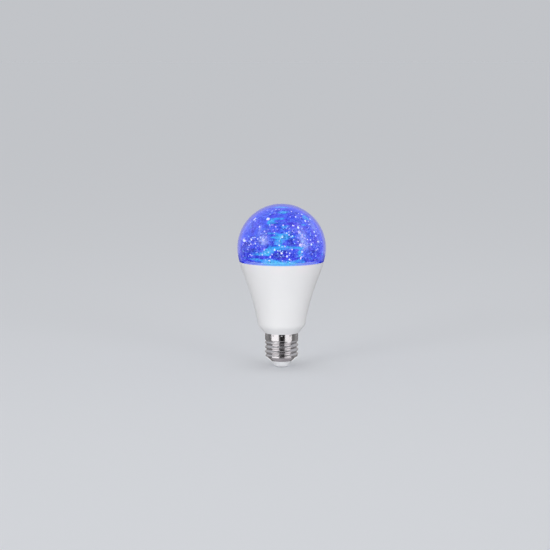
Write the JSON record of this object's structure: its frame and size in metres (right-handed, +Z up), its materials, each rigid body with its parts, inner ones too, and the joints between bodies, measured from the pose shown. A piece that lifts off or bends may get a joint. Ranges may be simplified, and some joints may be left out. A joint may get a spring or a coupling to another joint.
{
  "type": "colour changing led bulb",
  "caption": "Upright LED bulb with a clear globe over a sparkling inner dome, a white tapered housing and a metal screw cap with an end contact.",
  "frame": {"origin": "centre of the end contact's face, the lowest point of the bulb", "axes": "+Z up the bulb's axis from the end contact to the top of the globe; +Y to the back"},
  "size_m": [0.069, 0.069, 0.1279],
  "materials": {
    "clear_plastic": "clear polished",
    "sparkle_plastic": "embossed, lit blue",
    "white_plastic": "satin",
    "nickel": "nickel plated",
    "insulator_plastic": "satin",
    "silicone": "matte",
    "aluminium": "pressed",
    "white_board": "white solder mask",
    "led_body": "moulded",
    "led_fill": "clear fill",
    "steel": "zinc plated",
    "black_plastic": "moulded",
    "green_board": "solder mask",
    "can_sleeve": "sleeved",
    "ferrite": "sintered",
    "coil_tape": "tape",
    "resistor_paint": "lacquered",
    "live_insulation": "sleeve",
    "neutral_insulation": "sleeve"
  },
  "bodies": {
    "root": {"clear_dome": "clear_plastic", "sparkle_liner": "sparkle_plastic", "housing": "white_plastic", "screw_shell": "nickel", "contact_pin": "nickel", "link_pins": "nickel", "cap_insulator": "insulator_plastic", "dome_seal": "silicone", "heat_sink_cup": "aluminium", "led_board": "white_board", "led_packages": "led_body", "led_windows": "led_fill", "board_screws": "steel", "led_socket": "black_plastic", "pin_header": "black_plastic", "bridge_rectifier": "black_plastic", "supply_chip": "black_plastic", "colour_controller": "black_plastic", "colour_transistors": "black_plastic", "driver_board": "green_board", "input_capacitor": "can_sleeve", "output_capacitor": "can_sleeve", "transformer_core": "ferrite", "transformer_coil": "coil_tape", "fuse_resistor": "resistor_paint", "live_wire": "live_insulation", "neutral_wire": "neutral_insulation"}
  },
  "joints": []
}
